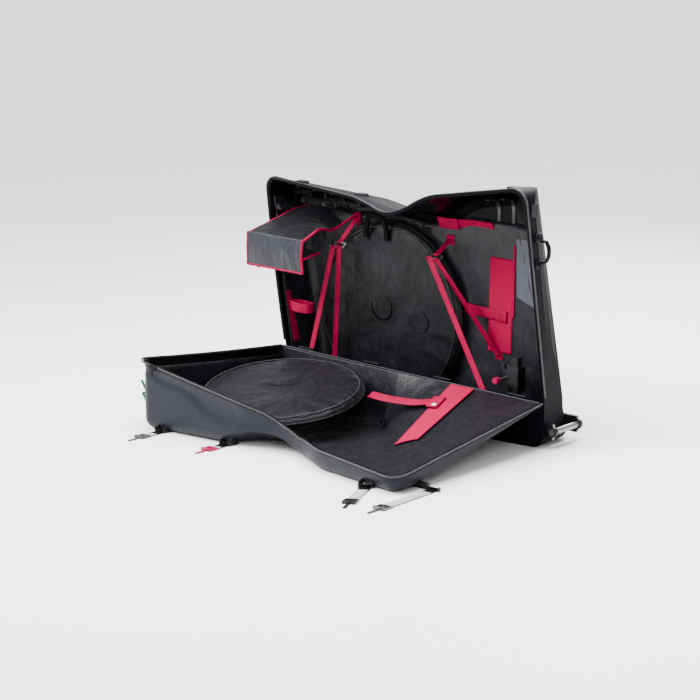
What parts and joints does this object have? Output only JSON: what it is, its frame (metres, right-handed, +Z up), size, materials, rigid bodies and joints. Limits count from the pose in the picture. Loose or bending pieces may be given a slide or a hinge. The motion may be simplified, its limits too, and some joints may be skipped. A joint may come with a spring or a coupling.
{
  "type": "bike travel case",
  "caption": "Hinged hard-shell bicycle travel case lying open, with padded wheel bags, webbing load straps, hook closures and transport wheels.",
  "frame": {"origin": "on the flat underside of the standing half, under the middle of the hinge, halfway through the half's depth", "axes": "+X along the hinge to the right end, level with the floor; +Y from the open lid to the back of the standing half; +Z up from the floor"},
  "size_m": [1.4503, 1.0914, 0.8813],
  "materials": {
    "case_shell": "fine grained matte, blue grey",
    "rim_rubber": "matte",
    "zip_tape": "woven tape with coil teeth",
    "liner_cloth": "coated nylon, soft sheen",
    "pouch_cloth": "coated dobby nylon with red binding",
    "bag_cloth": "padded nylon",
    "pocket_cloth": "coated cloth",
    "red_webbing": "woven webbing",
    "steel": "zinc plated",
    "black_plastic": "moulded",
    "bracket_alloy": "satin",
    "red_knob": "moulded",
    "tyre_rubber": "matte",
    "white_webbing": "woven webbing, black at its root",
    "green_hook": "moulded",
    "grey_hook": "moulded",
    "black_hook": "moulded",
    "silver_hook": "satin"
  },
  "bodies": {
    "base": {"base_shell": "case_shell", "base_rim_band": "rim_rubber", "base_zip": "zip_tape", "base_liner": "liner_cloth", "end_pocket": "pocket_cloth", "handlebar_pouch": "pouch_cloth", "back_hook_panel": "red_webbing", "panel_strap": "red_webbing", "seatpost_strap": "red_webbing", "frame_strap_front_left": "red_webbing", "frame_strap_rear_left": "red_webbing", "frame_strap_front_right": "red_webbing", "frame_strap_rear_right": "red_webbing", "strap_hangers": "red_webbing", "strap_hardware": "steel", "fork_strap": "red_webbing", "base_wheel_bag": "bag_cloth", "base_bag_handle": "bag_cloth", "dropout_foot": "black_plastic", "dropout_post": "black_plastic", "clip_bar": "steel", "clip_bar_brackets": "black_plastic", "clip_bar_screws": "steel", "wheel_brackets": "black_plastic", "wheel_axles": "steel", "handle_patches": "case_shell", "strap_catches": "case_shell", "base_hinge_leaves": "bracket_alloy", "hinge_pins": "bracket_alloy"},
    "lid": {"lid_shell": "case_shell", "lid_rim_band": "rim_rubber", "lid_zip": "zip_tape", "lid_liner": "liner_cloth", "lid_hook_panel": "red_webbing", "lid_wheel_strap": "red_webbing", "lid_wheel_bag": "bag_cloth", "lid_hinge_leaves": "bracket_alloy", "lid_strap_bars": "black_plastic"},
    "lid_slider": {"lid_zip_slider": "steel"},
    "closure_front_left": {"closure_strap_front_left": "white_webbing", "closure_hook_front_left": "grey_hook"},
    "closure_front_middle": {"closure_strap_front_middle": "white_webbing", "closure_hook_front_middle": "red_knob"},
    "closure_front_right": {"closure_strap_front_right": "white_webbing", "closure_hook_front_right": "black_hook"},
    "closure_right_end": {"closure_strap_right_end": "white_webbing", "closure_hook_right_end": "silver_hook"},
    "closure_left_end": {"closure_strap_left_end": "white_webbing", "closure_hook_left_end": "green_hook"},
    "wheel_front": {"wheel_hub_front": "black_plastic", "wheel_tyre_front": "tyre_rubber"},
    "wheel_rear": {"wheel_hub_rear": "black_plastic", "wheel_tyre_rear": "tyre_rubber"},
    "grip": {"end_handle": "black_plastic"},
    "pocket_slider": {"pocket_zip_slider": "steel"},
    "stand_bracket": {"dropout_bracket": "bracket_alloy"},
    "stand_clamp": {"dropout_axle": "steel", "dropout_knobs": "red_knob"}
  },
  "joints": [
    {"name": "lid_hinge", "type": "hinge", "parent": "base", "child": "lid", "pos_m": [0.00854, -0.095, 0.19181], "axis": [-0.999, 0, 0.0445], "range_deg": [0, 90], "deforming": ["handlebar_pouch"]},
    {"name": "closure_front_left_hinge", "type": "hinge", "parent": "lid", "child": "closure_front_left", "pos_m": [-0.61261, -0.70639, 0.0068], "axis": [-1, 0, 0], "range_deg": [0, 85]},
    {"name": "closure_front_middle_hinge", "type": "hinge", "parent": "lid", "child": "closure_front_middle", "pos_m": [-0.3003, -0.69398, 0.0068], "axis": [-1, 0, 0], "range_deg": [0, 85]},
    {"name": "closure_front_right_hinge", "type": "hinge", "parent": "lid", "child": "closure_front_right", "pos_m": [0.42842, -0.78987, 0.0068], "axis": [-0.9074, -0.4202, 0], "range_deg": [0, 72]},
    {"name": "closure_right_end_hinge", "type": "hinge", "parent": "lid", "child": "closure_right_end", "pos_m": [0.615, -0.685, 0.0068], "axis": [-1, 0, 0], "range_deg": [0, 85]},
    {"name": "closure_left_end_hinge", "type": "hinge", "parent": "lid", "child": "closure_left_end", "pos_m": [-0.71899, -0.625, 0.03], "axis": [0, -1, 0], "range_deg": [-25, 50]},
    {"name": "wheel_front_spin", "type": "hinge", "parent": "base", "child": "wheel_front", "pos_m": [-0.60076, -0.052, 0.0423], "axis": [0, 1, 0], "continuous": true},
    {"name": "wheel_rear_spin", "type": "hinge", "parent": "base", "child": "wheel_rear", "pos_m": [-0.60076, 0.052, 0.0423], "axis": [0, 1, 0], "continuous": true},
    {"name": "end_handle_hinge", "type": "hinge", "parent": "base", "child": "grip", "pos_m": [0.62218, -0.128, 0.67148], "axis": [0.0445, 0, 0.999], "range_deg": [-70, 70]},
    {"name": "lid_zip_slide", "type": "slide", "parent": "lid", "child": "lid_slider", "axis": [0.9814, 0.0393, -0.1877], "range_m": [0, 0.32]},
    {"name": "pocket_zip_slide", "type": "slide", "parent": "base", "child": "pocket_slider", "axis": [-0.7169, 0.6964, 0.0319], "range_m": [-0.038, 0.012]},
    {"name": "stand_height_slide", "type": "slide", "parent": "base", "child": "stand_bracket", "axis": [0.0445, 0, 0.999], "range_m": [-0.025, 0.025]},
    {"name": "stand_axle_spin", "type": "hinge", "parent": "stand_bracket", "child": "stand_clamp", "pos_m": [0.37386, 0.002, 0.19756], "axis": [0, 1, 0], "continuous": true}
  ]
}
